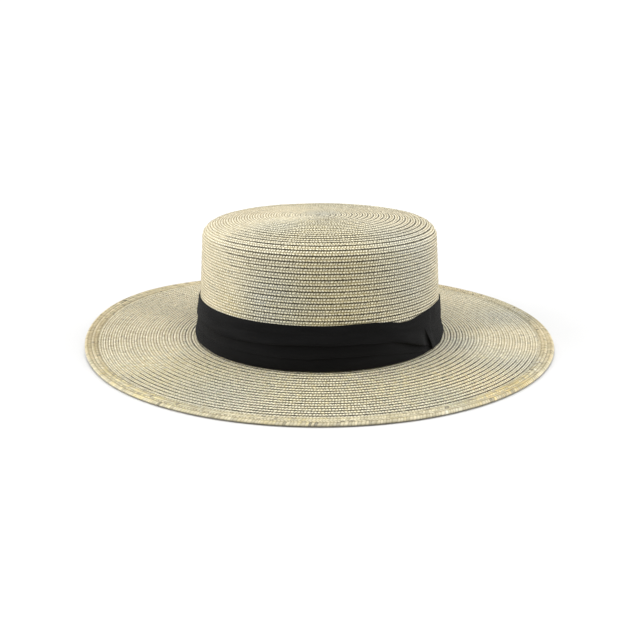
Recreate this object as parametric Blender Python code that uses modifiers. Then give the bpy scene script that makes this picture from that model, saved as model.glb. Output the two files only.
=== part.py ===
"""A straw boater, sewn from paper-straw braid, with a pleated cloth band and the band's lapped end.

Metres, +Z up. The origin is on the surface that the hat rests on, on the axis of the crown.
The front of the hat faces -Y and the wearer's left is +X.
Angles are in degrees from +X, anticlockwise from above.
"""

import math
from collections import namedtuple

import bmesh
import bpy

HEAD_GIRTH = 0.570  # inside the foot of the crown
STRAW_WALL = 0.0018  # the braid of the crown
WALL_HEIGHT = 0.0767  # from the top of the brim to the start of the shoulder
CROWN_TAPER = 0.0053  # what the radius loses over the wall
FOOT_HEIGHT = 0.0020  # the upright foot of the wall
SHOULDER_REACH = 0.0116
SHOULDER_RISE = 0.0091
TIP_RISE = 0.0037  # the crown of the tip over the shoulder

BRIM_WIDTH = 0.0835  # from the foot of the crown to the outer edge
BRIM_PLATE = 0.0020
RIM_WIDTH = 0.0095  # the folded braid at the edge
RIM_PLATE = 0.0022
LIFT_HEIGHT = 0.0077  # how far the brim's edge rises off the surface where it rises most
LIFT_CURVE = 1.7  # 1 is a straight slope out from the crown, more stays flat for longer

BAND_HEIGHT = 0.0319
PLEAT_DEPTH = 0.0022  # how far the fullest pleat stands off the wall of the crown
UNDER_LAP = 0.0008  # how far the band stands off the wall where its end covers it
EDGE_DIP = 0.0035  # how far the top edge of the band sags before the join
DIP_ANGLE = -47.0
DIP_SPREAD = 22.0
GATHER = 0.85  # how far the folds run down to the foot of the join, 1 being all the way
GATHER_POWER = 4.0  # more leaves the lowest folds the least room
GATHER_SPREAD = 30.0

LAP_CLOTH = 0.0008
LAP_PLEAT = 0.0008  # how far the fullest pleat of the lapped end swells out
LAP_START = -31.0  # where its free edge meets the brim
LAP_SLANT = 5.0  # how far the free edge leans back at the top
LAP_END = 6.0
LAP_INSET = 0.0006  # from the band's top and bottom edges

CLEARANCE = 0.0003
TURN_STEPS = 96
DOME_STEPS = 3
SHOULDER_STEPS = 5
BRIM_STEPS = 4
ROUND_STEPS = 5
LAP_STEPS = 10
MERGE = 0.00001
SHARP_ANGLE = 50.0

# A rise of the brim's edge: where it is highest, how far it runs to each side, its share of LIFT_HEIGHT.
Lift = namedtuple("Lift", "angle spread share")
LIFTS = (
    Lift(angle=161.0, spread=62.0, share=1.0),
    Lift(angle=9.0, spread=52.0, share=0.19),
)

# A line along the band: its share of the band's height, and of PLEAT_DEPTH off the wall of the crown.
Fold = namedtuple("Fold", "height standoff")
PLEATS = (
    Fold(height=0.00, standoff=0.72),
    Fold(height=0.05, standoff=0.86),
    Fold(height=0.16, standoff=0.92),
    Fold(height=0.27, standoff=0.78),
    Fold(height=0.29, standoff=0.52),
    Fold(height=0.33, standoff=0.84),
    Fold(height=0.44, standoff=1.00),
    Fold(height=0.54, standoff=0.80),
    Fold(height=0.56, standoff=0.48),
    Fold(height=0.61, standoff=0.66),
    Fold(height=0.76, standoff=0.62),
    Fold(height=0.79, standoff=0.50),
    Fold(height=0.83, standoff=0.60),
    Fold(height=1.00, standoff=0.42),
)

# The same for the lapped end, whose standoff is a share of LAP_PLEAT.
LAP_FOLDS = (
    Fold(height=0.00, standoff=0.40),
    Fold(height=0.08, standoff=0.80),
    Fold(height=0.20, standoff=0.90),
    Fold(height=0.30, standoff=0.55),
    Fold(height=0.45, standoff=1.00),
    Fold(height=0.62, standoff=0.60),
    Fold(height=0.80, standoff=0.30),
    Fold(height=1.00, standoff=0.00),
)

HEAD_RADIUS = HEAD_GIRTH / math.tau
FOOT_RADIUS = HEAD_RADIUS + STRAW_WALL
BRIM_RADIUS = FOOT_RADIUS + BRIM_WIDTH
RIM_SEAM = BRIM_RADIUS - RIM_WIDTH
CROWN_FOOT = BRIM_PLATE + CLEARANCE

Finish = namedtuple("Finish", "color roughness")
CROWN_STRAW = Finish(color=(0.66, 0.59, 0.43, 1.0), roughness=0.72)
BRIM_STRAW = Finish(color=(0.70, 0.64, 0.48, 1.0), roughness=0.72)
EDGE_STRAW = Finish(color=(0.68, 0.61, 0.45, 1.0), roughness=0.66)
BAND_FINISH = Finish(color=(0.012, 0.012, 0.013, 1.0), roughness=0.80)
LAP_FINISH = Finish(color=(0.015, 0.015, 0.016, 1.0), roughness=0.80)


def clear_scene():
    for old in list(bpy.data.objects):
        bpy.data.objects.remove(old, do_unlink=True)


def away_from(angle, centre):
    """How many degrees lie between two angles."""
    return abs((angle - centre + 180.0) % 360.0 - 180.0)


def swell(angle, centre, spread):
    """1 at the centre, falling smoothly to 0 at the spread on either side."""
    return 0.5 * (1.0 + math.cos(math.pi * min(away_from(angle, centre) / spread, 1.0)))


def wall_radius(height):
    """Outside of the crown's wall, at a height over the top of the brim."""
    share = (height - FOOT_HEIGHT) / (WALL_HEIGHT - FOOT_HEIGHT)
    return FOOT_RADIUS - CROWN_TAPER * max(share, 0.0)


def polar(vertex):
    return math.hypot(vertex.co.x, vertex.co.y), math.degrees(math.atan2(vertex.co.y, vertex.co.x))


def place_polar(vertex, radius, angle, height):
    turn = math.radians(angle)
    vertex.co = (radius * math.cos(turn), radius * math.sin(turn), height)


def finish_material(name, finish):
    material = bpy.data.materials.new(name)
    material.use_nodes = True
    shader = material.node_tree.nodes["Principled BSDF"]
    shader.inputs["Base Color"].default_value = finish.color
    shader.inputs["Roughness"].default_value = finish.roughness
    shader.inputs["Metallic"].default_value = 0.0
    material.diffuse_color = finish.color
    return material


def add_piece(collection, name, mesh, finish):
    piece = bpy.data.objects.new(name, mesh)
    piece.data.materials.append(finish_material(name + "_finish", finish))
    collection.objects.link(piece)
    return piece


def bake(piece):
    """Gives the piece the mesh that its modifiers make, shaded smooth."""
    bpy.context.view_layer.update()
    evaluated = piece.evaluated_get(bpy.context.evaluated_depsgraph_get())
    mesh = bpy.data.meshes.new_from_object(evaluated)
    piece.modifiers.clear()
    piece.data = mesh
    mesh.shade_smooth()
    mesh.set_sharp_from_angle(angle=math.radians(SHARP_ANGLE))
    return piece


def turned(collection, name, profile, finish, closed):
    """Turns a profile of (radius, height) pairs, which runs down its outer side, round the crown's axis."""
    points = [(radius, 0.0, height) for radius, height in profile]
    edges = [(i, i + 1) for i in range(len(points) - 1)]
    if closed:
        edges.append((len(points) - 1, 0))
    mesh = bpy.data.meshes.new(name)
    mesh.from_pydata(points, edges, [])
    piece = add_piece(collection, name, mesh, finish)
    screw = piece.modifiers.new("Turn", "SCREW")
    screw.angle = math.tau
    screw.steps = TURN_STEPS
    screw.render_steps = TURN_STEPS
    screw.use_merge_vertices = True
    screw.merge_threshold = MERGE
    return piece


def thicken(piece, thickness):
    wall = piece.modifiers.new("Wall", "SOLIDIFY")
    wall.thickness = thickness
    wall.offset = -1.0
    wall.use_even_offset = True


def crown_profile():
    """From the middle of the tip, over the shoulder and down the wall to its upright foot."""
    tip_radius = FOOT_RADIUS - CROWN_TAPER - SHOULDER_REACH
    tip_foot = WALL_HEIGHT + SHOULDER_RISE
    profile = []
    for step in range(DOME_STEPS):
        share = step / DOME_STEPS
        profile.append((tip_radius * share, tip_foot + TIP_RISE * (1.0 - share**2)))
    for step in range(SHOULDER_STEPS + 1):
        turn = 0.5 * math.pi * (1.0 - step / SHOULDER_STEPS)
        radius = tip_radius + SHOULDER_REACH * math.cos(turn)
        profile.append((radius, WALL_HEIGHT + SHOULDER_RISE * math.sin(turn)))
    profile.append((FOOT_RADIUS, FOOT_HEIGHT))
    profile.append((FOOT_RADIUS, 0.0))
    return [(radius, height + CROWN_FOOT) for radius, height in profile]


def build_crown(collection):
    crown = turned(collection, "crown", crown_profile(), CROWN_STRAW, closed=False)
    thicken(crown, STRAW_WALL)
    return bake(crown)


def lift_brim(piece):
    """Raises the edge of a brim piece where the brim curls up off the surface."""
    for vertex in piece.data.vertices:
        radius, angle = polar(vertex)
        reach = max(radius - FOOT_RADIUS, 0.0) / BRIM_WIDTH
        rise = sum(lift.share * swell(angle, lift.angle, lift.spread) for lift in LIFTS)
        vertex.co.z += LIFT_HEIGHT * rise * reach**LIFT_CURVE


def build_brim(collection):
    outer = RIM_SEAM - CLEARANCE
    across = [HEAD_RADIUS + (outer - HEAD_RADIUS) * step / BRIM_STEPS for step in range(BRIM_STEPS + 1)]
    profile = [(radius, BRIM_PLATE) for radius in across]
    profile += [(radius, 0.0) for radius in reversed(across)]
    brim = bake(turned(collection, "brim", profile, BRIM_STRAW, closed=True))
    lift_brim(brim)
    return brim


def build_brim_edge(collection):
    """The folded braid: flat above and below, with a half-round outer edge."""
    half = 0.5 * RIM_PLATE
    profile = [(RIM_SEAM, RIM_PLATE)]
    for step in range(ROUND_STEPS + 1):
        turn = 0.5 * math.pi - math.pi * step / ROUND_STEPS
        profile.append((BRIM_RADIUS - half + half * math.cos(turn), half + half * math.sin(turn)))
    profile.append((RIM_SEAM, 0.0))
    edge = bake(turned(collection, "brim_edge", profile, EDGE_STRAW, closed=True))
    lift_brim(edge)
    return edge


def gather_at(angle):
    """How far the folds are drawn down at an angle: most at the free edge of the lapped end."""
    return GATHER * max(1.0 - away_from(angle, LAP_START) / GATHER_SPREAD, 0.0) ** 2


def covered_at(angle):
    """1 where the lapped end covers the band, 0 where the pleats are free, with one step between."""
    first = LAP_START - LAP_SLANT
    step = 360.0 / TURN_STEPS
    past = away_from(angle, 0.5 * (first + LAP_END)) - 0.5 * (LAP_END - first)
    return min(max(2.0 - past / step, 0.0), 1.0)


def band_line(share, angle):
    """Height over the foot of the crown of a line along the band, gathered and dipped near the join."""
    gathered = share + (share**GATHER_POWER - share) * gather_at(angle)
    dip = EDGE_DIP * swell(angle, DIP_ANGLE, DIP_SPREAD) * gathered**2
    return BAND_HEIGHT * gathered - dip


def build_hat_band(collection):
    """A ring with the pleats as its outer side, then each line moved to its own height and standoff."""
    profile = []
    for fold in reversed(PLEATS):
        profile.append((FOOT_RADIUS + PLEAT_DEPTH * fold.standoff, BAND_HEIGHT * fold.height))
    profile.append((FOOT_RADIUS + CLEARANCE, 0.0))
    profile.append((FOOT_RADIUS + CLEARANCE, BAND_HEIGHT))
    band = bake(turned(collection, "hat_band", profile, BAND_FINISH, closed=True))
    for vertex in band.data.vertices:
        radius, angle = polar(vertex)
        standoff = radius - FOOT_RADIUS
        if standoff > CLEARANCE + MERGE:
            standoff += (min(standoff, UNDER_LAP) - standoff) * covered_at(angle)
        height = band_line(vertex.co.z / BAND_HEIGHT, angle)
        place_polar(vertex, wall_radius(height) + standoff, angle, height + CROWN_FOOT)
    return band


def build_band_lap(collection):
    """A sheet bent round the band, thickened inwards."""
    rows = len(LAP_FOLDS) - 1
    inside = UNDER_LAP + CLEARANCE
    sheet = bmesh.new()
    bmesh.ops.create_grid(sheet, x_segments=LAP_STEPS, y_segments=rows, size=0.5)
    for vertex in sheet.verts:
        fold = LAP_FOLDS[round((vertex.co.y + 0.5) * rows)]
        start = LAP_START - LAP_SLANT * fold.height
        angle = start + (LAP_END - start) * (vertex.co.x + 0.5)
        height = LAP_INSET + (band_line(1.0, angle) - 2.0 * LAP_INSET) * fold.height
        radius = wall_radius(height) + inside + LAP_CLOTH + LAP_PLEAT * fold.standoff
        place_polar(vertex, radius, angle, height + CROWN_FOOT)
    mesh = bpy.data.meshes.new("band_lap")
    sheet.to_mesh(mesh)
    sheet.free()
    lap = add_piece(collection, "band_lap", mesh, LAP_FINISH)
    thicken(lap, LAP_CLOTH)
    return bake(lap)


def build_hat():
    clear_scene()
    collection = bpy.data.collections.new("straw_boater")
    bpy.context.scene.collection.children.link(collection)
    build_crown(collection)
    build_brim(collection)
    build_brim_edge(collection)
    build_hat_band(collection)
    build_band_lap(collection)


build_hat()
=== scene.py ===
import math
from bisect import bisect_right
from collections import namedtuple

import bpy
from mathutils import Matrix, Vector, noise


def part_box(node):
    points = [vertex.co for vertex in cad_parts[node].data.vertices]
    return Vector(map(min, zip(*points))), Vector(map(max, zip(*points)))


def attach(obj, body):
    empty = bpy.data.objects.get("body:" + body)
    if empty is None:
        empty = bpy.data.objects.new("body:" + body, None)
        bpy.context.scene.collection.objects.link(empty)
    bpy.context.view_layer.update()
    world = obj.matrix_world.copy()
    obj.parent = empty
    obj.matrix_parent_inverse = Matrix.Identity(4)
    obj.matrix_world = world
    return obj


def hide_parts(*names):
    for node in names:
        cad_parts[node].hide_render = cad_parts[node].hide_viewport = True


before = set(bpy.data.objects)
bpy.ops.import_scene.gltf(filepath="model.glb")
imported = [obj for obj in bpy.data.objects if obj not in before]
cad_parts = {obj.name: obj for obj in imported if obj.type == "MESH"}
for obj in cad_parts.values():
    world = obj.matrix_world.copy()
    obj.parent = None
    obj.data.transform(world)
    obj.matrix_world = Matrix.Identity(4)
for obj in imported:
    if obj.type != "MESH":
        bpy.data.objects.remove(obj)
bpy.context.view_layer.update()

print("frame loaded:", ", ".join(sorted(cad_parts)))

crownLow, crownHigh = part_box("crown")
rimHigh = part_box("brim_edge")[1]
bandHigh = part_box("hat_band")[1]


# helpers for meshes

def deselectAll():
    bpy.ops.object.select_all(action="DESELECT")


def addGrid(name, columns, rows):
    # a flat grid one unit across, whose points are then laid on the hat by column and row
    deselectAll()
    bpy.ops.mesh.primitive_grid_add(x_subdivisions=columns, y_subdivisions=rows, size=1.0)
    piece = bpy.context.object
    piece.name = piece.data.name = name
    piece.data.uv_layers[0].name = "weave"
    return piece


def gridPlaces(piece, columns, rows):
    # the column and row of each of the grid's points
    return [(round((v.co.x + 0.5) * columns), round((v.co.y + 0.5) * rows)) for v in piece.data.vertices]


def setWeave(piece, columns, rows, placeOf):
    # moves the grid's own UV map to lengths along and across the cloth or braid
    layer = piece.data.uv_layers["weave"]
    flat = [0.0] * (2 * len(piece.data.loops))
    layer.uv.foreach_get("vector", flat)
    for i in range(0, len(flat), 2):
        flat[i], flat[i + 1] = placeOf(round(flat[i] * columns), round(flat[i + 1] * rows))
    layer.uv.foreach_set("vector", flat)


seamGap = 0.00001            # points closer than this are one


def closeSeams(piece, recalculate=True):
    deselectAll()
    bpy.context.view_layer.objects.active = piece
    piece.select_set(True)
    bpy.ops.object.mode_set(mode="EDIT")
    bpy.ops.mesh.select_all(action="SELECT")
    bpy.ops.mesh.remove_doubles(threshold=seamGap)
    if recalculate:
        bpy.ops.mesh.normals_make_consistent(inside=False)
    bpy.ops.object.mode_set(mode="OBJECT")


def applyModifier(piece, kind, **settings):
    deselectAll()
    bpy.context.view_layer.objects.active = piece
    piece.select_set(True)
    modifier = piece.modifiers.new(kind.title(), kind)
    for setting, value in settings.items():
        setattr(modifier, setting, value)
    bpy.ops.object.modifier_apply(modifier=modifier.name)


def shadeSmooth(piece, degrees):
    deselectAll()
    bpy.context.view_layer.objects.active = piece
    piece.select_set(True)
    bpy.ops.object.shade_smooth_by_angle(angle=math.radians(degrees))


def finishPiece(piece, material, slot, *nodes):
    piece.data.materials.clear()
    piece.data.materials.append(material)
    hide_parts(*nodes)
    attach(piece, "root")
    print("made", piece.name, len(piece.data.polygons), "faces")


def awayFrom(angle, centre):
    # degrees between two angles, the short way round
    return abs((angle - centre + 180.0) % 360.0 - 180.0)


def swell(angle, centre, spread):
    # 1 at the centre, falling smoothly to 0 where the spread ends on either side
    return 0.5 * (1.0 + math.cos(math.pi * min(awayFrom(angle, centre) / spread, 1.0)))


def smoothStep(value, low, high):
    share = min(max((value - low) / (high - low), 0.0), 1.0)
    return share * share * (3.0 - 2.0 * share)


def waver(x, y=0.0, z=0.0):
    return noise.noise(Vector((x, y, z)))


# helpers for materials

def newMaterial(name):
    material = bpy.data.materials.new(name)
    material.use_nodes = True
    return material, material.node_tree, material.node_tree.nodes["Principled BSDF"]


def plug(tree, socket, value):
    if isinstance(value, bpy.types.NodeSocket):
        tree.links.new(value, socket)
    else:
        socket.default_value = value


def addNode(tree, kind, values=None, **settings):
    node = tree.nodes.new(kind)
    for setting, value in settings.items():
        setattr(node, setting, value)
    for socket, value in (values or {}).items():
        plug(tree, node.inputs[socket], value)
    return node


def maths(tree, operation, *values, clamp=False):
    node = addNode(tree, "ShaderNodeMath", operation=operation, use_clamp=clamp)
    for i, value in enumerate(values):
        plug(tree, node.inputs[i], value)
    return node.outputs[0]


def fadeBetween(tree, value, low, high):
    node = addNode(tree, "ShaderNodeMapRange", {0: value, 1: low, 2: high}, interpolation_type="SMOOTHSTEP")
    return node.outputs[0]


def blendColors(tree, share, first, second, mode="MIX"):
    node = addNode(tree, "ShaderNodeMix", {0: share, 6: first, 7: second}, data_type="RGBA", blend_type=mode)
    return node.outputs[2]


def colorRamp(tree, value, stops):
    node = addNode(tree, "ShaderNodeValToRGB", {0: value})
    ramp = node.color_ramp
    while len(ramp.elements) < len(stops):
        ramp.elements.new(0.5)
    for element, (position, color) in zip(ramp.elements, stops):
        element.position, element.color = position, (*color, 1.0)
    return node.outputs[0]


def noiseOn(tree, vector, scale, detail=2.0, roughness=0.5):
    return addNode(tree, "ShaderNodeTexNoise",
                   {"Vector": vector, "Scale": scale, "Detail": detail, "Roughness": roughness}).outputs[0]


def vectorOf(tree, x, y, z=0.0):
    return addNode(tree, "ShaderNodeCombineXYZ", {0: x, 1: y, 2: z}).outputs[0]


# straw braid

strawLook = {
    "hidden": 0.166,         # share of a row that lies under the row before
    "split": 0.54,           # where the wider strand of stitches ends and the narrower one begins
    "stitch": 0.0020,        # length of a stitch along the braid
    "slant": 0.40,           # how far a stitch leans over its strand
    "uneven": 2.0,           # how far the stitches run ahead or lag, in stitches
    "unevenScale": 160.0,
    "shake": 0.09,           # how far the lines of the braid stray over its width
    "shakeScale": 520.0,
    "domeEnds": 3.0,         # a stitch is a dome, fuller towards its ends where this is higher
    "domeSides": 3.5,
    "bite": 0.085,           # how far the painted groove shade bites in between two stitches
    "wide": 0.062,           # how much wider the painted groove shade is on the flat parts
    "wideRows": 21.0,        # the flat parts end at this row
    "stitchRelief": 0.00044,
    "fibreRelief": 0.25,
    "gapShadeStrength": 1.00,         # painted shade in the holes between stitches
    "gapPower": 1.5,
    "gapEased": 0.40,        # how much fainter they are in the narrower strand
    "grooveShadeOuter": 0.935,      # the painted shade of the groove between rows covers a row's outer edge from here on
    "grooveShadeInner": 0.065,      # and its inner edge up to here
    "grooveShadeStrength": 0.97,
    "pullLeast": 0.08,       # how strongly the painted groove shade shows at a stitch: at least this, more in a dash, more by chance
    "pullDash": 0.62,
    "pullStitch": 0.50,
    "dashScale": 190.0,
    "dashLow": 0.36,
    "dashHigh": 0.60,
    "edgeHighlightStrength": 0.55,       # painted highlight on the raised edge just inside the groove
    "edgeFrom": 0.66,
    "edgeTo": 0.78,
    # painted highlight on the top of each stitch's dome
    "crestHighlightStrength": 0.85,
    "fleck": 0.55,
    "fleckScale": 1500.0,
    "speckle": 0.50,         # how far single stitches take the dye more or less
    "brightness": 0.955,
    "calm": 0.88,            # how far the painted groove shade and gap shade fade where the straw lies closest
    "calmDim": 0.13,
    "roughness": 0.68,
    "roughRange": 0.16,
    "sheen": 0.10,
    "dyeScale": 30.0,        # how small the clouds of dye are, per metre
    # colours of the painted groove shade, the painted gap shade (bluer under the slate dye) and the painted crest
    # highlight
    "grooveShadeColor": (0.040, 0.033, 0.016),
    "gapShadeColor": (0.085, 0.070, 0.038),
    "slateGapShadeColor": (0.085, 0.095, 0.125),
    "crestHighlightColor": (0.970, 0.925, 0.730),
    "ochre": (1.00, 0.92, 0.55),
    "slate": (0.66, 0.73, 0.85),
    # a warmer, paler tint; on the crown's and brim's left and right sides it is painted wrap light
    "peachAndWrapLight": (1.10, 1.01, 0.91),
    "tan": (0.80, 0.78, 0.74),
}
brimLook = dict(strawLook, wideRows=99.0)
# the rim: weaker painted groove shade and fainter painted highlights
rimLook = dict(strawLook, hidden=0.0, split=0.5, stitch=0.0021, slant=0.60, stitchRelief=0.0002,
               gapShadeStrength=0.85, grooveShadeOuter=0.94, grooveShadeInner=0.04, grooveShadeStrength=0.28, crestHighlightStrength=0.22,
               edgeHighlightStrength=0.15, bite=0.03, wide=0.0)

# what a single stitch may be: a rare hole, its darkness painted shade, most of them cream, a few nearly white
stitchTones = (
    (0.000, (0.060, 0.048, 0.025)),
    (0.030, (0.300, 0.258, 0.154)),
    (0.300, (0.450, 0.396, 0.244)),
    (0.700, (0.560, 0.500, 0.330)),
    (0.970, (0.680, 0.622, 0.440)),
    (1.000, (0.940, 0.905, 0.770)),
)

dyeLook = {
    "cloudiness": 1.6,       # how far the cloud noise breaks up the patches
    "low": 0.42,             # no dye below this, and the full share above the next
    "high": 1.10,
}
# soft patches: ochre and slate where the straw took more of one dye, calm where its rows lie calm and close,
# peach, a paler tint that on the crown's and brim's left and right sides is painted wrap light, and tan, which
# darkens and greys what it covers
dyePatch = namedtuple("dyePatch", "dye place reach")
dyePatches = (
    dyePatch(dye="ochre", place=(0.012, -0.090, 0.060), reach=0.056),
    dyePatch(dye="ochre", place=(0.060, -0.118, 0.002), reach=0.044),
    dyePatch(dye="ochre", place=(-0.002, -0.050, 0.092), reach=0.045),
    dyePatch(dye="ochre", place=(0.000, -0.118, 0.002), reach=0.058),
    dyePatch(dye="ochre", place=(-0.087, -0.094, 0.002), reach=0.065),
    dyePatch(dye="ochre", place=(0.098, -0.100, 0.002), reach=0.055),
    dyePatch(dye="slate", place=(0.002, 0.006, 0.092), reach=0.018),
    dyePatch(dye="slate", place=(-0.028, -0.040, 0.092), reach=0.024),
    dyePatch(dye="slate", place=(-0.030, -0.086, 0.046), reach=0.036),
    dyePatch(dye="slate", place=(0.066, -0.062, 0.074), reach=0.046),
    dyePatch(dye="slate", place=(-0.066, -0.126, 0.002), reach=0.038),
    dyePatch(dye="slate", place=(0.128, -0.070, 0.002), reach=0.034),
    dyePatch(dye="slate", place=(0.104, -0.030, 0.002), reach=0.026),
    dyePatch(dye="slate", place=(0.150, 0.030, 0.002), reach=0.036),
    dyePatch(dye="slate", place=(0.078, -0.134, 0.002), reach=0.027),
    dyePatch(dye="tan", place=(-0.134, -0.032, 0.003), reach=0.076),
    dyePatch(dye="tan", place=(-0.050, 0.000, 0.092), reach=0.045),
    dyePatch(dye="tan", place=(0.000, -0.075, 0.092), reach=0.050),
    dyePatch(dye="tan", place=(0.065, -0.062, 0.052), reach=0.050),
    dyePatch(dye="peachAndWrapLight", place=(-0.095, -0.020, 0.060), reach=0.085),
    dyePatch(dye="peachAndWrapLight", place=(-0.160, -0.010, 0.004), reach=0.110),
    dyePatch(dye="peachAndWrapLight", place=(-0.040, 0.010, 0.092), reach=0.060),
    dyePatch(dye="peachAndWrapLight", place=(0.050, 0.000, 0.092), reach=0.060),
    dyePatch(dye="peachAndWrapLight", place=(0.155, -0.020, 0.002), reach=0.080),
    dyePatch(dye="peachAndWrapLight", place=(0.092, -0.010, 0.060), reach=0.060),
    dyePatch(dye="peachAndWrapLight", place=(-0.080, 0.120, 0.004), reach=0.100),
    dyePatch(dye="peachAndWrapLight", place=(0.080, 0.120, 0.002), reach=0.090),
    dyePatch(dye="peachAndWrapLight", place=(0.100, -0.110, 0.002), reach=0.050),
    dyePatch(dye="calm", place=(-0.045, 0.008, 0.092), reach=0.066),
    dyePatch(dye="calm", place=(-0.098, -0.030, 0.072), reach=0.050),
    dyePatch(dye="calm", place=(-0.100, -0.030, 0.036), reach=0.050),
    dyePatch(dye="calm", place=(-0.078, -0.062, 0.056), reach=0.046),
    dyePatch(dye="calm", place=(-0.150, 0.000, 0.004), reach=0.060),
    dyePatch(dye="calm", place=(-0.130, -0.060, 0.004), reach=0.050),
    dyePatch(dye="calm", place=(0.100, -0.020, 0.060), reach=0.036),
    dyePatch(dye="calm", place=(0.132, -0.040, 0.002), reach=0.044),
    dyePatch(dye="calm", place=(0.158, -0.015, 0.002), reach=0.046),
)


def dyeShare(tree, dye, place, cloud):
    # how much one kind of patch covers a place, its edges broken up by the cloud noise; the kinds are the dyes,
    # the calm rows and the peach tint, partly painted wrap light
    total = None
    for patch in dyePatches:
        if patch.dye == dye:
            distance = addNode(tree, "ShaderNodeVectorMath", {0: place, 1: patch.place}, operation="DISTANCE")
            away = maths(tree, "DIVIDE", distance.outputs["Value"], patch.reach)
            share = maths(tree, "SUBTRACT", 1.0, away, clamp=True)
            total = share if total is None else maths(tree, "ADD", total, share)
    clouded = maths(tree, "MULTIPLY_ADD", cloud, dyeLook["cloudiness"], total)
    return fadeBetween(tree, clouded, dyeLook["low"], dyeLook["high"])


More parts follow.
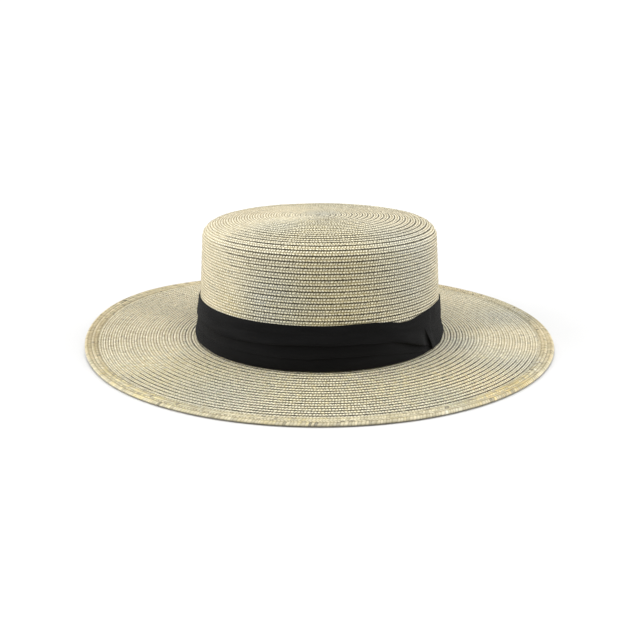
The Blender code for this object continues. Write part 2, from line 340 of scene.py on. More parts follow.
def strawMaterial(name, look):
    material, tree, shader = newMaterial(name)
    weave = addNode(tree, "ShaderNodeUVMap", uv_map="weave").outputs[0]
    split = addNode(tree, "ShaderNodeSeparateXYZ", {0: weave})
    along, across = split.outputs[0], split.outputs[1]
    shown = addNode(tree, "ShaderNodeMapRange", {0: maths(tree, "FRACT", across), 1: look["hidden"]}).outputs[0]
    shaken = vectorOf(tree, along, maths(tree, "MULTIPLY", across, 0.002))
    shake = maths(tree, "SUBTRACT", noiseOn(tree, shaken, look["shakeScale"], 2.0), 0.5)
    shown = maths(tree, "MULTIPLY_ADD", shake, look["shake"], shown)
    # two strands of stitches to each row, leaning opposite ways
    lower = maths(tree, "GREATER_THAN", shown, look["split"])
    strand = maths(tree, "MULTIPLY_ADD", maths(tree, "FLOOR", across), 2.0, lower)
    inStrand = maths(tree, "DIVIDE", maths(tree, "MULTIPLY_ADD", lower, -look["split"], shown),
                     maths(tree, "MULTIPLY_ADD", lower, 1.0 - 2.0 * look["split"], look["split"]))
    lean = maths(tree, "MULTIPLY_ADD", lower, -2.0 * look["slant"], look["slant"])
    unevenness = noiseOn(tree, vectorOf(tree, along, strand), look["unevenScale"], 1.0)
    count = maths(tree, "MULTIPLY_ADD", unevenness, look["uneven"], maths(tree, "DIVIDE", along, look["stitch"]))
    leaning = maths(tree, "MULTIPLY_ADD", inStrand, lean, count)
    shifted = maths(tree, "MULTIPLY_ADD", lower, 0.5, leaning)
    stitchPlace = vectorOf(tree, maths(tree, "FLOOR", shifted), strand)
    random = addNode(tree, "ShaderNodeTexWhiteNoise", {"Vector": stitchPlace}, noise_dimensions="2D").outputs["Value"]
    # each stitch is a small dome
    fromMiddle = maths(tree, "ABSOLUTE", maths(tree, "MULTIPLY_ADD", maths(tree, "FRACT", shifted), 2.0, -1.0))
    fromRidge = maths(tree, "ABSOLUTE", maths(tree, "MULTIPLY_ADD", inStrand, 2.0, -1.0))
    domeAlong = maths(tree, "SUBTRACT", 1.0, maths(tree, "POWER", fromMiddle, look["domeEnds"]))
    domeAcross = maths(tree, "SUBTRACT", 1.0, maths(tree, "POWER", fromRidge, look["domeSides"]))
    dome = maths(tree, "MULTIPLY", domeAlong, domeAcross)
    # painted shade in the groove between one row and the next, drawn in dashes where the braid pulls
    place = addNode(tree, "ShaderNodeTexCoord").outputs["Object"]
    cloud = maths(tree, "SUBTRACT", noiseOn(tree, place, look["dyeScale"], 5.0, 0.65), 0.25)
    calm = dyeShare(tree, "calm", place, cloud)
    showing = maths(tree, "MULTIPLY_ADD", calm, -look["calm"], 1.0)
    dashes = noiseOn(tree, vectorOf(tree, along, maths(tree, "FLOOR", across)), look["dashScale"], 2.0)
    dashes = fadeBetween(tree, dashes, look["dashLow"], look["dashHigh"])
    flat = maths(tree, "SUBTRACT", 1.0, fadeBetween(tree, across, look["wideRows"] - 2.0, look["wideRows"] + 1.0))
    bite = maths(tree, "MULTIPLY", maths(tree, "POWER", fromMiddle, 2.0), look["bite"])
    bite = maths(tree, "MULTIPLY_ADD", flat, look["wide"], bite)
    outerEdge = fadeBetween(tree, maths(tree, "ADD", shown, bite), look["grooveShadeOuter"], look["grooveShadeOuter"] + 0.04)
    innerEdge = fadeBetween(tree, maths(tree, "SUBTRACT", shown, bite), look["grooveShadeInner"], 0.0)
    edges = maths(tree, "ADD", outerEdge, innerEdge)
    chance = maths(tree, "FRACT", maths(tree, "MULTIPLY", random, 17.0))
    pull = maths(tree, "MULTIPLY_ADD", dashes, look["pullDash"], look["pullLeast"])
    pull = maths(tree, "MULTIPLY_ADD", chance, look["pullStitch"], pull)
    paintedGrooveShade = maths(tree, "MULTIPLY", edges, maths(tree, "MULTIPLY", showing, pull), clamp=True)
    # colour: the stitch's own tone and the dyes, the peach partly painted wrap light, then the painted highlights
    # on the crests and the raised edge, the painted shade in the gaps and the painted shade in the groove between
    # rows
    color = colorRamp(tree, random, stitchTones)
    speckled = maths(tree, "MULTIPLY_ADD", maths(tree, "SUBTRACT", random, 0.5), look["speckle"], cloud)
    shares = {dye: dyeShare(tree, dye, place, speckled) for dye in ("peachAndWrapLight", "tan", "ochre", "slate")}
    for dye, share in shares.items():
        dyed = blendColors(tree, 1.0, color, (*look[dye], 1.0), "MULTIPLY")
        color = blendColors(tree, share, color, dyed)
    # the colour of the painted shade between stitches, bluer under the slate dye
    gapShadeColor = blendColors(tree, shares["slate"], (*look["gapShadeColor"], 1.0), (*look["slateGapShadeColor"], 1.0))
    fleck = noiseOn(tree, place, look["fleckScale"], 2.0, 0.7)
    shading = maths(tree, "MULTIPLY_ADD", fleck, look["fleck"], look["brightness"] - 0.5 * look["fleck"])
    shading = maths(tree, "MULTIPLY_ADD", calm, -look["calmDim"], shading)
    color = addNode(tree, "ShaderNodeHueSaturation", {"Color": color, "Value": shading}).outputs[0]
    # painted highlight on the top of each stitch's dome, stronger in the dashes
    paintedCrestHighlight = maths(tree, "MULTIPLY", maths(tree, "POWER", dome, 3.0),
                  maths(tree, "MULTIPLY_ADD", dashes, 0.3 * look["crestHighlightStrength"], 0.7 * look["crestHighlightStrength"]))
    # painted highlight along the raised outer edge of each row, merged with the painted crest highlight
    paintedEdgeHighlight = maths(tree, "MULTIPLY", fadeBetween(tree, shown, look["edgeFrom"], look["edgeTo"]),
                     maths(tree, "MULTIPLY_ADD", dashes, look["edgeHighlightStrength"], 0.1))
    paintedCrestHighlight = maths(tree, "MAXIMUM", paintedCrestHighlight, paintedEdgeHighlight)
    color = blendColors(tree, paintedCrestHighlight, color, (*look["crestHighlightColor"], 1.0))
    # painted shade in the holes between the stitch domes, fainter in the narrower strand and where the rows lie calm
    paintedGapShade = maths(tree, "MULTIPLY", maths(tree, "POWER", maths(tree, "SUBTRACT", 1.0, dome), look["gapPower"]),
                 maths(tree, "MULTIPLY_ADD", lower, -look["gapEased"] * look["gapShadeStrength"], look["gapShadeStrength"]))
    color = blendColors(tree, maths(tree, "MULTIPLY", paintedGapShade, showing), color, gapShadeColor)
    # painted shade in the groove between rows, laid over the colour
    color = blendColors(tree, maths(tree, "MULTIPLY", paintedGrooveShade, look["grooveShadeStrength"]), color, (*look["grooveShadeColor"], 1.0))
    plug(tree, shader.inputs["Base Color"], color)
    roughest = look["roughness"] + 0.5 * look["roughRange"]
    plug(tree, shader.inputs["Roughness"], maths(tree, "MULTIPLY_ADD", random, -look["roughRange"], roughest))
    shader.inputs["Specular IOR Level"].default_value = 0.35
    shader.inputs["Sheen Weight"].default_value = look["sheen"]
    shader.inputs["Sheen Roughness"].default_value = 0.4
    shader.inputs["Sheen Tint"].default_value = (1.0, 0.92, 0.78, 1.0)
    # relief: the domes, the fibres along them and the seam's furrow
    drawnOut = vectorOf(tree, maths(tree, "MULTIPLY", shifted, 0.9), maths(tree, "MULTIPLY", across, 14.0))
    fibres = noiseOn(tree, drawnOut, 1.6, 2.0)
    relief = maths(tree, "MULTIPLY_ADD", fibres, look["fibreRelief"], dome)
    relief = maths(tree, "MULTIPLY_ADD", paintedGrooveShade, -0.8, relief)
    bump = addNode(tree, "ShaderNodeBump", {"Strength": 1.0, "Distance": look["stitchRelief"], "Height": relief})
    plug(tree, shader.inputs["Normal"], bump.outputs[0])
    return material


strawBraid = strawMaterial("strawBraid", strawLook)
strawBrim = strawMaterial("strawBrim", brimLook)
strawRim = strawMaterial("strawRim", rimLook)

sectionPoint = namedtuple("sectionPoint", "across rise")
# round the strip: over its top from the inner to the outer edge, then back underneath
stripSection = (
    sectionPoint(across=0.00, rise=0.00),
    sectionPoint(across=0.10, rise=0.72),
    sectionPoint(across=0.29, rise=1.00),
    sectionPoint(across=0.50, rise=0.66),
    sectionPoint(across=0.71, rise=1.00),
    sectionPoint(across=0.91, rise=0.86),
    sectionPoint(across=0.98, rise=0.46),
    sectionPoint(across=1.00, rise=-0.05),
    sectionPoint(across=0.86, rise=-0.60),
    sectionPoint(across=0.50, rise=-0.80),
    sectionPoint(across=0.14, rise=-0.60),
)
topPoints = 8                # those that are its top


def sectionTravel(ring):
    # 0 to 1 across the top and 1 to 2 back underneath, for the weave
    if ring == len(stripSection):
        return 2.0
    across = stripSection[ring].across
    return across if ring < topPoints else 2.0 - across


windShape = {
    "wanderScale": 45.0,     # how often the strip strays sideways and up and down, per metre
    "rippleScale": 60.0,
    "closeShare": 0.6,       # how much flatter the rows lie at their closest side
    "closeSpread": 65.0,
}


# Winds one long strip outwards in a spiral, each row's inner edge tucked under the row before.
# seamAt gives the place of a seam, counted in rows, and placeAt a point at that place, angle and rise.
def windBraid(name, braid, seamAt, placeAt):
    steps, rows = braid["stepsPerTurn"], braid["rows"]
    columns, ring = round(steps * (rows + 1.0)), len(stripSection)
    piece = addGrid(name, columns, ring)
    strip, lengths, length = [], [], 0.0
    for column in range(columns + 1):
        turn = column / steps
        inner, outer = seamAt(max(turn - 1.0, 0.0)), seamAt(min(turn, rows))
        full = min((outer - inner) / braid["pitch"], 1.0)
        angle = braid["startAngle"] + 360.0 * turn
        wander = braid["wander"] * waver(length * windShape["wanderScale"], 3.7)
        swing = braid["ripple"] * waver(length * windShape["rippleScale"], 9.1)
        steep = 0.55 + 0.45 * smoothStep(outer, braid["flatUntil"] - 0.01, braid["flatUntil"])
        tilt = braid["tilt"] * full * steep
        tilt *= 1.0 - windShape["closeShare"] * swell(angle, braid["closeSide"], windShape["closeSpread"])
        tuck = braid["tuck"] * full * min(turn, 1.0)
        strip.append((angle, inner - tuck + wander * full, outer + wander * full, full, tilt, swing))
        lengths.append(length)
        middle = placeAt(0.5 * (inner + outer), angle, 0.0)
        length += math.tau / steps * math.hypot(middle.x, middle.y)
    for vertex, (column, row) in zip(piece.data.vertices, gridPlaces(piece, columns, ring)):
        point = stripSection[row % ring]
        angle, inner, outer, full, tilt, swing = strip[column]
        rise = braid["middle"] + tilt * (point.across - 0.5) + 0.5 * braid["thickness"] * point.rise * full + swing
        vertex.co = placeAt(max(inner + (outer - inner) * point.across, 0.0), angle, rise)
    setWeave(piece, columns, ring, lambda column, row: (lengths[column], sectionTravel(row)))
    closeSeams(piece)
    shadeSmooth(piece, 50.0)
    return piece


# crown

crownShape = {
    "footRadius": crownHigh.x,
    "foot": crownLow.z,
    "wallHeight": 0.0757,
    "taper": 0.0053,
    "uprightFoot": 0.0020,
    "shoulderReach": 0.0138,
    "shoulderRise": 0.0101,
    "tipRise": 0.0052,
    "tipPower": 3.2,
    "tipDish": 0.0016,       # the slight hollow in the middle of the tip
    "underFoot": 0.0008,     # how far the last row reaches down on to the brim
    "unevenness": 0.00018,   # of a hat blocked by hand
    "tipSteps": 40,
    "shoulderSteps": 24,
    "wallSteps": 24,
}
crownBraidLook = {
    "pitch": 0.00396,
    "tuck": 0.0008,
    "thickness": 0.00115,
    "tilt": 0.00062,
    "middle": -0.00066,
    "wander": 0.00012,
    "ripple": 0.00010,
    "stepsPerTurn": 144,
    "startAngle": -30.0,
    "closeSide": 192.0,      # where the rows lie closest
    "flatUntil": 0.070,      # the rows of the tip lie flatter than those of the wall
}


def wallRadius(height):
    # outside of the crown's wall, at a height over its foot
    share = (height - crownShape["uprightFoot"]) / (crownShape["wallHeight"] - crownShape["uprightFoot"])
    return crownShape["footRadius"] - crownShape["taper"] * max(share, 0.0)


def crownLine():
    # from the middle of the tip, over the shoulder and down the wall: distance, radius, height, normal
    shape = crownShape
    tipRadius = shape["footRadius"] - shape["taper"] - shape["shoulderReach"]
    tipFoot = shape["wallHeight"] + shape["shoulderRise"]
    points = []
    for step in range(shape["tipSteps"]):
        share = step / shape["tipSteps"]
        dish = shape["tipDish"] * math.exp(-4.0 * share * share)
        rise = shape["tipRise"] * (1.0 - share ** shape["tipPower"]) - dish
        points.append((tipRadius * share, tipFoot + rise))
    for step in range(shape["shoulderSteps"] + 1):
        turn = 0.5 * math.pi * (1.0 - step / shape["shoulderSteps"])
        points.append((tipRadius + shape["shoulderReach"] * math.cos(turn),
                       shape["wallHeight"] + shape["shoulderRise"] * math.sin(turn)))
    for step in range(1, shape["wallSteps"] + 1):
        height = shape["wallHeight"] * (1.0 - step / shape["wallSteps"])
        points.append((wallRadius(height), height))
    points.append((shape["footRadius"], -shape["underFoot"]))
    line, length = [], 0.0
    for i, (radius, height) in enumerate(points):
        before, after = points[max(i - 2, 0)], points[min(i + 2, len(points) - 1)]
        slope = Vector((after[0] - before[0], after[1] - before[1])).normalized()
        if i == 0:
            slope = Vector((1.0, 0.0))
        line.append((length, radius, height + shape["foot"], -slope.y, slope.x))
        if i + 1 < len(points):
            length += math.dist(points[i], points[i + 1])
    return line


crownMeridian = crownLine()
crownMeridianStops = [stop[0] for stop in crownMeridian]


def onCrown(along, angle, rise):
    i = min(max(bisect_right(crownMeridianStops, along) - 1, 0), len(crownMeridian) - 2)
    first, second = crownMeridian[i], crownMeridian[i + 1]
    share = (along - first[0]) / (second[0] - first[0])
    _, radius, height, outward, upward = (a + (b - a) * share for a, b in zip(first, second))
    turn = math.radians(angle)
    rise += crownShape["unevenness"] * waver(2.2 * math.cos(turn), 2.2 * math.sin(turn), along * 30.0)
    radius += outward * rise
    return Vector((radius * math.cos(turn), radius * math.sin(turn), height + upward * rise))


def crownSeam(row):
    return min(row * crownBraidLook["pitch"], crownMeridianStops[-1])


crownBraidLook["rows"] = crownMeridianStops[-1] / crownBraidLook["pitch"]
crownBraid = windBraid("crownBraid", crownBraidLook, crownSeam, onCrown)
finishPiece(crownBraid, strawBraid, "straw_braid", "crown")


# brim

brimShape = {
    "innerRadius": crownShape["footRadius"] - 0.0018,
    "width": rimHigh.x - crownShape["footRadius"],
    "rimWidth": 0.0095,
    "clearance": 0.0003,
    "liftHeight": 0.0077,
    "liftCurve": 1.7,
}
brimLift = namedtuple("brimLift", "angle spread share")
brimLifts = (
    brimLift(angle=161.0, spread=62.0, share=1.0),
    brimLift(angle=9.0, spread=52.0, share=0.19),
)
brimBraidLook = {
    "pitch": 0.0036,
    "innerPitch": 0.00462,
    "closing": 0.000031,     # how much closer each row lies than the row before
    "tuck": 0.0008,
    "thickness": 0.00120,
    "tilt": 0.00063,
    "middle": 0.00112,
    "wander": 0.00014,
    "ripple": 0.00008,
    "stepsPerTurn": 240,
    "startAngle": -60.0,
    "closeSide": 185.0,
    "flatUntil": 0.0,
}
rimSeam = rimHigh.x - brimShape["rimWidth"]


def liftAt(radius, angle):
    reach = max(radius - crownShape["footRadius"], 0.0) / brimShape["width"]
    rise = sum(lift.share * swell(angle, lift.angle, lift.spread) for lift in brimLifts)
    return brimShape["liftHeight"] * rise * reach ** brimShape["liftCurve"]


def onBrim(radius, angle, rise):
    turn = math.radians(angle)
    return Vector((radius * math.cos(turn), radius * math.sin(turn), liftAt(radius, angle) + rise))


def brimSeam(row):
    radius = brimShape["innerRadius"] + brimBraidLook["innerPitch"] * row - brimBraidLook["closing"] * row * row
    return min(radius, rimSeam - brimShape["clearance"])


def countBrimRows():
    # how many rows fit in between the crown and the rim
    reach = rimSeam - brimShape["clearance"] - brimShape["innerRadius"]
    pitch, closing = brimBraidLook["innerPitch"], brimBraidLook["closing"]
    return (pitch - math.sqrt(pitch**2 - 4.0 * closing * reach)) / (2.0 * closing)


brimBraidLook["rows"] = countBrimRows()
brimBraid = windBraid("brimBraid", brimBraidLook, brimSeam, onBrim)
finishPiece(brimBraid, strawBrim, "straw_braid", "brim")


# folded rim

rimPoint = namedtuple("rimPoint", "out height weave")
# Millimetres out from the seam and over the surface: up the inner side, over the top, round the edge and
# back underneath. The weave counts the rows of stitches that run over it. At its whole numbers the material
# lays painted groove shade: at the step up from the brim, in the middle groove, underneath, and on the outer
# edge just above the floor, where it is a painted contact shadow.
rimSection = (
    rimPoint(out=0.0, height=0.55, weave=3.64),
    rimPoint(out=-0.5, height=1.55, weave=3.82),
    rimPoint(out=0.2, height=2.10, weave=4.00),
    rimPoint(out=1.4, height=2.30, weave=4.27),
    rimPoint(out=3.1, height=2.28, weave=4.64),
    rimPoint(out=4.2, height=2.10, weave=4.88),
    rimPoint(out=4.7, height=1.98, weave=5.00),
    rimPoint(out=5.2, height=2.12, weave=5.11),
    rimPoint(out=6.4, height=2.30, weave=5.35),
    rimPoint(out=7.8, height=2.22, weave=5.62),
    rimPoint(out=8.7, height=1.95, weave=5.77),
    rimPoint(out=9.3, height=1.50, weave=5.86),
    rimPoint(out=9.5, height=1.08, weave=5.92),
    rimPoint(out=9.3, height=0.55, weave=6.00),
    rimPoint(out=8.7, height=0.18, weave=6.12),
    rimPoint(out=7.6, height=0.02, weave=6.35),
    rimPoint(out=6.2, height=0.02, weave=6.65),
    rimPoint(out=4.7, height=0.30, weave=7.00),
    rimPoint(out=3.2, height=0.02, weave=7.32),
    rimPoint(out=1.4, height=0.05, weave=7.70),
)
rimShape = {"steps": 384, "ripple": 0.00009, "lastWeave": 7.95}


def foldRim():
    columns, ring = rimShape["steps"], len(rimSection)
    piece = addGrid("rimBraid", columns, ring)
    for vertex, (column, row) in zip(piece.data.vertices, gridPlaces(piece, columns, ring)):
        point = rimSection[row % ring]
        angle = -360.0 * (column % columns) / columns
        turn = math.radians(angle)
        radius = rimSeam + 0.001 * point.out
        ripple = rimShape["ripple"] * waver(9.0 * math.cos(turn), 9.0 * math.sin(turn), point.out * 0.2)
        height = 0.001 * point.height + max(ripple, 0.0) + liftAt(radius, angle)
        vertex.co = (radius * math.cos(turn), radius * math.sin(turn), height)
    weaves = [point.weave for point in rimSection] + [rimShape["lastWeave"]]
    setWeave(piece, columns, ring, lambda column, row: (math.tau * rimHigh.x * column / columns, weaves[row]))
    closeSeams(piece)
    shadeSmooth(piece, 60.0)
    return piece


rimBraid = foldRim()
finishPiece(rimBraid, strawRim, "straw_edge", "brim_edge")


# band

bandLook = {
    "roughness": 0.92,
    "thread": 0.00042,
    "threadRelief": 0.00010,
    "sheen": 0.05,
    "color": (0.0045, 0.0045, 0.0047),
    "faded": (0.0086, 0.0086, 0.0089),
    "creaseAlong": 26.0,     # creases per metre, drawn out along the band
    "creaseAcross": 150.0,
    "creaseRelief": 0.0006,
    "lintScale": 900.0,
}


def clothMaterial(name, look):
    material, tree, shader = newMaterial(name)
    weave = addNode(tree, "ShaderNodeUVMap", uv_map="weave").outputs[0]
    split = addNode(tree, "ShaderNodeSeparateXYZ", {0: weave})
    along, across = split.outputs[0], split.outputs[1]
    # plain weave: warp and weft threads that pass over each other by turns
    warp = maths(tree, "SINE", maths(tree, "MULTIPLY", along, math.tau / look["thread"] / 2.0))
    weft = maths(tree, "SINE", maths(tree, "MULTIPLY", across, math.tau / look["thread"] / 2.0))
    threads = maths(tree, "ABSOLUTE", maths(tree, "MULTIPLY", warp, weft))
    drawnOut = vectorOf(tree, maths(tree, "MULTIPLY", along, look["creaseAlong"]),
                        maths(tree, "MULTIPLY", across, look["creaseAcross"]))
    creases = noiseOn(tree, drawnOut, 1.0, 3.0, 0.55)
    lint = noiseOn(tree, vectorOf(tree, along, across), look["lintScale"], 2.0, 0.6)
    wear = maths(tree, "MULTIPLY", fadeBetween(tree, creases, 0.35, 0.75), 0.6)
    wear = maths(tree, "MULTIPLY_ADD", fadeBetween(tree, lint, 0.62, 0.8), 0.5, wear, clamp=True)
    color = blendColors(tree, wear, (*look["color"], 1.0), (*look["faded"], 1.0))
    plug(tree, shader.inputs["Base Color"], color)
    plug(tree, shader.inputs["Roughness"], maths(tree, "MULTIPLY_ADD", creases, -0.12, look["roughness"]))
    shader.inputs["Specular IOR Level"].default_value = 0.08
    shader.inputs["Sheen Weight"].default_value = look["sheen"]
    shader.inputs["Sheen Roughness"].default_value = 0.45
    shader.inputs["Sheen Tint"].default_value = (0.75, 0.76, 0.80, 1.0)
    fine = addNode(tree, "ShaderNodeBump", {"Strength": 0.7, "Distance": look["threadRelief"], "Height": threads})
    soft = addNode(tree, "ShaderNodeBump", {"Strength": 0.6, "Distance": look["creaseRelief"], "Height": creases,
                                            "Normal": fine.outputs[0]})
    plug(tree, shader.inputs["Normal"], soft.outputs[0])
    return material


bandCloth = clothMaterial("bandCloth", bandLook)

bandShape = {
    "height": bandHigh.z - crownShape["foot"],
    "steps": 288,
    "cloth": 0.0005,
    "wrinkle": 0.00022,
    "sag": 0.0013,           # how far the foot of the band bulges at both sides
    "sagLine": 0.11,         # where it bulges and where it is drawn in, as shares of its height
    "waistLine": 0.42,
    "waist": 0.55,
    "underLap": 0.0005,
    "valley": 0.85,          # how far the band is pulled in beside the lapped end's free edge
    "valleySpread": 5.5,
    "gather": 0.92,          # how tight the folds are drawn at the join
    "gatherAngle": -39.0,
    "gatherSpread": 20.0,
    "foldSpacing": 0.008,    # cloth between one fold and the next
    "lapStart": -31.0,       # foot of the lapped end's free edge
    "lapSlant": 9.5,         # how far that edge leans back, for the band's whole height
    "lapEnd": 6.0,
}

foldRow = namedtuple("foldRow", "angle low main faint top")
# Where the folds lie, as shares of the band's height. They run level round the back and drop to the foot of
# the join.
foldRows = (
    foldRow(angle=-180, low=0.30, main=0.57, faint=0.79, top=1.00),
    foldRow(angle=-150, low=0.30, main=0.60, faint=0.80, top=1.00),
    foldRow(angle=-138, low=0.29, main=0.54, faint=0.78, top=1.00),
    foldRow(angle=-124, low=0.31, main=0.55, faint=0.77, top=1.00),
    foldRow(angle=-110, low=0.30, main=0.57, faint=0.77, top=1.00),
    foldRow(angle=-96, low=0.29, main=0.61, faint=0.79, top=1.00),
    foldRow(angle=-84, low=0.32, main=0.58, faint=0.80, top=1.00),
    foldRow(angle=-74, low=0.32, main=0.59, faint=0.80, top=1.01),
    foldRow(angle=-66, low=0.31, main=0.56, faint=0.79, top=1.00),
    foldRow(angle=-58, low=0.27, main=0.53, faint=0.76, top=0.95),
    foldRow(angle=-52, low=0.21, main=0.47, faint=0.71, top=0.885),
    foldRow(angle=-46, low=0.14, main=0.36, faint=0.66, top=0.885),
    foldRow(angle=-42, low=0.11, main=0.29, faint=0.64, top=0.93),
    foldRow(angle=-37, low=0.08, main=0.20, faint=0.62, top=0.95),
    foldRow(angle=-31, low=0.06, main=0.12, faint=0.62, top=0.98),
    foldRow(angle=-20, low=0.14, main=0.30, faint=0.68, top=0.99),
    foldRow(angle=-8, low=0.25, main=0.50, faint=0.75, top=0.94),
    foldRow(angle=4, low=0.29, main=0.55, faint=0.77, top=0.92),
    foldRow(angle=40, low=0.31, main=0.58, faint=0.78, top=0.97),
    foldRow(angle=80, low=0.28, main=0.55, faint=0.80, top=1.00),
    foldRow(angle=120, low=0.30, main=0.58, faint=0.78, top=1.00),
    foldRow(angle=180, low=0.30, main=0.57, faint=0.79, top=1.00),
)

pleatPoint = namedtuple("pleatPoint", "line drawn slack")
# Up the cloth. A line of 1 is the low fold, 2 the main one, 3 the faint one and 4 the top edge. The other two
# are the standoffs in millimetres off the crown where the folds are drawn tight and where they lie slack. The
# cloth of each fold laps down over the one below, so its line goes back there.
pleatSection = (
    pleatPoint(line=0.05, drawn=0.35, slack=0.35),
    pleatPoint(line=0.00, drawn=0.75, slack=0.85),
    pleatPoint(line=0.04, drawn=1.15, slack=1.35),
    pleatPoint(line=0.20, drawn=1.55, slack=1.85),
    pleatPoint(line=0.45, drawn=1.75, slack=2.10),
    pleatPoint(line=0.70, drawn=1.50, slack=2.12),
    pleatPoint(line=0.90, drawn=1.05, slack=2.02),
    pleatPoint(line=1.05, drawn=0.60, slack=1.90),
    pleatPoint(line=1.01, drawn=1.00, slack=1.95),
    pleatPoint(line=0.95, drawn=1.30, slack=2.08),
    pleatPoint(line=1.00, drawn=1.50, slack=2.22),
    pleatPoint(line=1.14, drawn=1.55, slack=2.36),
    pleatPoint(line=1.36, drawn=1.35, slack=2.40),
    pleatPoint(line=1.60, drawn=0.55, slack=2.28),
    pleatPoint(line=1.86, drawn=0.30, slack=2.12),
    pleatPoint(line=2.05, drawn=0.30, slack=1.98),
    pleatPoint(line=2.01, drawn=1.50, slack=2.04),
    pleatPoint(line=1.93, drawn=2.60, slack=2.14),
    pleatPoint(line=1.96, drawn=3.20, slack=2.24),
    pleatPoint(line=2.10, drawn=3.30, slack=2.26),
    pleatPoint(line=2.40, drawn=2.55, slack=2.10),
    pleatPoint(line=2.70, drawn=1.80, slack=1.84),
    pleatPoint(line=2.93, drawn=1.40, slack=1.64),
    pleatPoint(line=3.01, drawn=1.20, slack=1.54),
    pleatPoint(line=3.07, drawn=1.42, slack=1.55),
    pleatPoint(line=3.30, drawn=1.45, slack=1.44),
    pleatPoint(line=3.65, drawn=1.20, slack=1.16),
    pleatPoint(line=3.92, drawn=0.98, slack=0.98),
    pleatPoint(line=4.00, drawn=0.72, slack=0.72),
    pleatPoint(line=3.96, drawn=0.35, slack=0.35),
)


def foldsAt(angle):
    # the heights of the five lines at an angle
    angle = (angle + 180.0) % 360.0 - 180.0
    for first, second in zip(foldRows, foldRows[1:]):
        if first.angle <= angle <= second.angle:
            break
    straight = 0.5 * (angle - first.angle) / (second.angle - first.angle)
    share = smoothStep(angle, first.angle, second.angle) * 0.5 + straight
    return [0.0] + [a + (b - a) * share for a, b in zip(first[1:], second[1:])]


def lineHeight(folds, line):
    i = min(int(line), 3)
    return folds[i] + (folds[i + 1] - folds[i]) * (line - i)


def sagAt(angle, share):
    # at both sides the foot of the band bulges over the brim and its middle is drawn in
    sides = swell(angle, 178.0, 70.0) + swell(angle, -4.0, 34.0)
    bulge = math.exp(-((share - bandShape["sagLine"]) / 0.12) ** 2)
    waist = bandShape["waist"] * math.exp(-((share - bandShape["waistLine"]) / 0.18) ** 2)
    return bandShape["sag"] * sides * (bulge - waist)


def valleyAt(angle, share):
    # how far the band is pulled in just before the lapped end's free edge, in its lower half
    edge = bandShape["lapStart"] - bandShape["lapSlant"] * share
    low = 1.0 - smoothStep(share, 0.35, 0.62)
    return bandShape["valley"] * swell(angle, edge - 1.5, bandShape["valleySpread"]) * low


def tightAt(angle, line):
    # 1 where the folds are drawn down to the join, and coming and going faintly elsewhere
    turn = math.radians(angle)
    coming = 0.22 + 0.45 * waver(2.6 * math.cos(turn), 2.6 * math.sin(turn), 1.7 * round(line))
    drawn = bandShape["gather"] * swell(angle, bandShape["gatherAngle"], bandShape["gatherSpread"])
    return min(max(coming, 0.04) + drawn, 1.0)


def underLapAt(angle):
    # 1 where the lapped end covers the band
    middle = 0.5 * (bandShape["lapStart"] + bandShape["lapEnd"])
    half = 0.5 * (bandShape["lapEnd"] - bandShape["lapStart"])
    return 1.0 - smoothStep(awayFrom(angle, middle), half - 3.0, half + 1.0)


def pleatBand():
    columns, rows = bandShape["steps"], len(pleatSection) - 1
    piece = addGrid("pleatedBand", columns, rows)
    travel = [0.0]
    flatPoints = [(point.line * bandShape["foldSpacing"], point.slack * 0.001) for point in pleatSection]
    for first, second in zip(flatPoints, flatPoints[1:]):
        travel.append(travel[-1] + math.dist(first, second))
    for vertex, (column, row) in zip(piece.data.vertices, gridPlaces(piece, columns, rows)):
        angle = 360.0 * (column % columns) / columns
        turn = math.radians(angle)
        point = pleatSection[row]
        folds = foldsAt(angle)
        share = lineHeight(folds, point.line)
        tight = tightAt(angle, point.line)
        standoff = 0.001 * (point.slack + (point.drawn - point.slack) * tight)
        if 0 < row < rows:
            standoff += bandShape["wrinkle"] * waver(7.0 * math.cos(turn), 7.0 * math.sin(turn), point.line * 1.7)
            standoff += sagAt(angle, share)
        pulledIn = max(underLapAt(angle), valleyAt(angle, share))
        standoff += (min(standoff, bandShape["underLap"]) - standoff) * pulledIn
        height = bandShape["height"] * share
        radius = wallRadius(height) + standoff
        vertex.co = (radius * math.cos(turn), radius * math.sin(turn), crownShape["foot"] + height)
    girth = math.tau * crownShape["footRadius"]
    setWeave(piece, columns, rows, lambda column, row: (girth * column / columns, travel[row]))
    closeSeams(piece, recalculate=False)
    applyModifier(piece, "SUBSURF", levels=1, render_levels=1)
    applyModifier(piece, "SOLIDIFY", thickness=bandShape["cloth"], offset=-1.0, use_even_offset=False)
    shadeSmooth(piece, 75.0)
    return piece


pleatedBand = pleatBand()
finishPiece(pleatedBand, bandCloth, "band_cloth", "hat_band")


# the band's lapped end

lapShape = {
    "columns": 40,
    "rows": 30,
    "cloth": 0.0004,
    "inset": 0.0004,
    "wrinkle": 0.00025,
    "edgeTurn": 6.0,         # degrees over which its two ends turn in towards the crown
    "endTurn": 4.0,
    "length": 0.062,         # of its weave
    "height": 0.034,
}
lapPoint = namedtuple("lapPoint", "height standoff edge")
# Up the lapped end: its standoff in millimetres, and that of its free edge, which is flush with the band in the
# upper half.
lapSection = (
    lapPoint(height=0.00, standoff=1.30, edge=1.90),
    lapPoint(height=0.06, standoff=1.60, edge=2.70),
    lapPoint(height=0.20, standoff=1.55, edge=3.00),
    lapPoint(height=0.36, standoff=1.45, edge=2.70),
    lapPoint(height=0.50, standoff=1.35, edge=2.05),
    lapPoint(height=0.62, standoff=1.20, edge=1.30),
    lapPoint(height=0.78, standoff=1.05, edge=0.95),
    lapPoint(height=0.92, standoff=0.95, edge=0.80),
    lapPoint(height=1.00, standoff=0.90, edge=0.70),
)


def lapAt(height):
    for first, second in zip(lapSection, lapSection[1:]):
        if height <= second.height:
            break
    share = (height - first.height) / (second.height - first.height)
    return (0.001 * (first.standoff + (second.standoff - first.standoff) * share),
            0.001 * (first.edge + (second.edge - first.edge) * share))


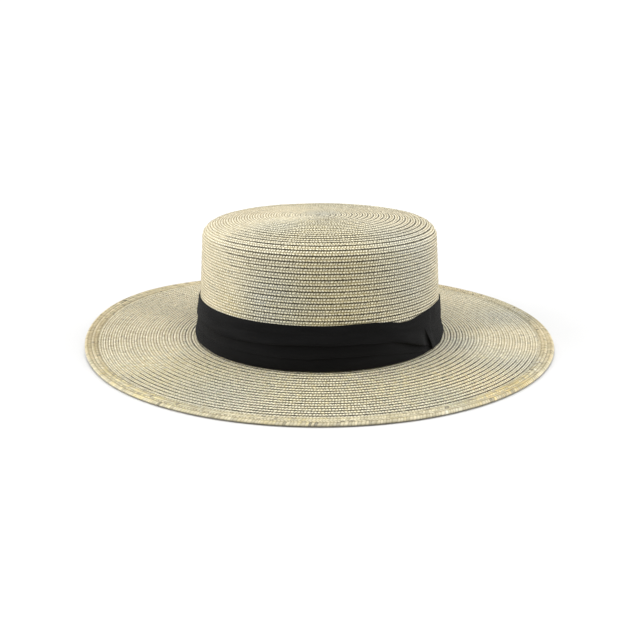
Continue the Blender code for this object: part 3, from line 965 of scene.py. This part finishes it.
def lapBand():
    columns, rows = lapShape["columns"], lapShape["rows"]
    piece = addGrid("bandLap", columns, rows)
    for vertex, (column, row) in zip(piece.data.vertices, gridPlaces(piece, columns, rows)):
        share = row / rows
        start = bandShape["lapStart"] - bandShape["lapSlant"] * share
        along = column / columns
        angle = start + (bandShape["lapEnd"] - start) * along
        turn = math.radians(angle)
        standoff, edge = lapAt(share)
        fromEdge = (angle - start) / lapShape["edgeTurn"]
        toEnd = (bandShape["lapEnd"] - angle) / lapShape["endTurn"]
        standoff = edge + (standoff - edge) * smoothStep(min(fromEdge, toEnd), 0.0, 1.0)
        standoff += lapShape["wrinkle"] * waver(angle * 0.12, share * 3.0, 4.4) + sagAt(angle, share)
        tall = bandShape["height"] * foldsAt(angle)[4] - 2.0 * lapShape["inset"]
        height = lapShape["inset"] + tall * share
        radius = wallRadius(height) + standoff
        vertex.co = (radius * math.cos(turn), radius * math.sin(turn), crownShape["foot"] + height)
    setWeave(piece, columns, rows,
             lambda column, row: (lapShape["length"] * column / columns, lapShape["height"] * row / rows))
    applyModifier(piece, "SUBSURF", levels=1, render_levels=1)
    applyModifier(piece, "SOLIDIFY", thickness=lapShape["cloth"], offset=-1.0, use_even_offset=False)
    shadeSmooth(piece, 60.0)
    return piece


bandLap = lapBand()
finishPiece(bandLap, bandCloth, "band_cloth", "band_lap")


# floor, light and camera

studio = {
    "floorColor": (0.640, 0.640, 0.640, 1.0),
    "floorEdge": (0.80, 0.80, 0.80, 1.0),
    "floorRadius": 0.46,
    "fadeFrom": 0.26,        # the floor turns from the one colour to the other between these distances
    "fadeTo": 0.42,
    "horizon": 1.12,         # the white sweep behind, up to about 10 degrees over the horizon
    "sky": 0.40,             # the dimmer room above it
    "lampAim": (0.0, 0.0, 0.03),
}
lamp = namedtuple("lamp", "name place size power")
lamps = (
    lamp(name="topLight", place=(-0.12, -0.15, 1.5), size=1.3, power=21.0),
    lamp(name="leftLight", place=(-1.3, -0.15, 0.6), size=1.0, power=15.0),
    lamp(name="rightLight", place=(1.25, 0.05, 0.6), size=1.0, power=13.5),
)

deselectAll()
bpy.ops.mesh.primitive_circle_add(vertices=96, radius=studio["floorRadius"], fill_type="NGON",
                                  location=(0.0, 0.0, -0.0002))
floor = bpy.context.object
floor.name = "floor"
floorMaterial, floorTree, floorShader = newMaterial("floorPaper")
floorPlace = addNode(floorTree, "ShaderNodeTexCoord").outputs["Object"]
floorGrain = noiseOn(floorTree, floorPlace, 40.0, 3.0)
plug(floorTree, floorShader.inputs["Roughness"], maths(floorTree, "MULTIPLY_ADD", floorGrain, 0.1, 0.85))
fromHat = addNode(floorTree, "ShaderNodeVectorMath", {0: floorPlace}, operation="LENGTH").outputs["Value"]
floorFade = fadeBetween(floorTree, fromHat, studio["fadeFrom"], studio["fadeTo"])
plug(floorTree, floorShader.inputs["Base Color"],
     blendColors(floorTree, floorFade, studio["floorColor"], studio["floorEdge"]))
floor.data.materials.append(floorMaterial)

world = bpy.data.worlds.new("studioWorld")
bpy.context.scene.world = world
world.use_nodes = True
worldTree = world.node_tree
upward = addNode(worldTree, "ShaderNodeSeparateXYZ",
                 {0: addNode(worldTree, "ShaderNodeTexCoord").outputs["Generated"]}).outputs[2]
overHorizon = addNode(worldTree, "ShaderNodeMapRange",
                      {0: upward, 1: 0.10, 2: 0.26, 3: studio["horizon"], 4: studio["sky"]},
                      interpolation_type="SMOOTHSTEP")
plug(worldTree, worldTree.nodes["Background"].inputs["Strength"], overHorizon.outputs[0])
worldTree.nodes["Background"].inputs["Color"].default_value = (1.0, 1.0, 1.0, 1.0)

for light in lamps:
    bpy.ops.object.light_add(type="AREA", location=light.place)
    lampObject = bpy.context.object
    lampObject.name = lampObject.data.name = light.name
    lampObject.data.size = light.size
    lampObject.data.energy = light.power
    aim = Vector(studio["lampAim"]) - Vector(light.place)
    lampObject.rotation_euler = aim.to_track_quat("-Z", "Y").to_euler()

cameraView = {
    "place": (0.00029, -0.61587, 0.203),
    "tiltDown": 0.304,
    "lens": 46.93,
    "sensor": 36.0,
}
bpy.ops.object.camera_add(location=cameraView["place"], rotation=(0.5 * math.pi - cameraView["tiltDown"], 0.0, 0.0))
camera = bpy.context.object
camera.name = "photoCamera"
camera.data.lens = cameraView["lens"]
camera.data.sensor_width = cameraView["sensor"]
camera.data.clip_start = 0.01
bpy.context.scene.camera = camera
bpy.context.scene.view_settings.view_transform = "Standard"
bpy.context.scene.view_settings.look = "None"
print("stage, lamps and camera set")
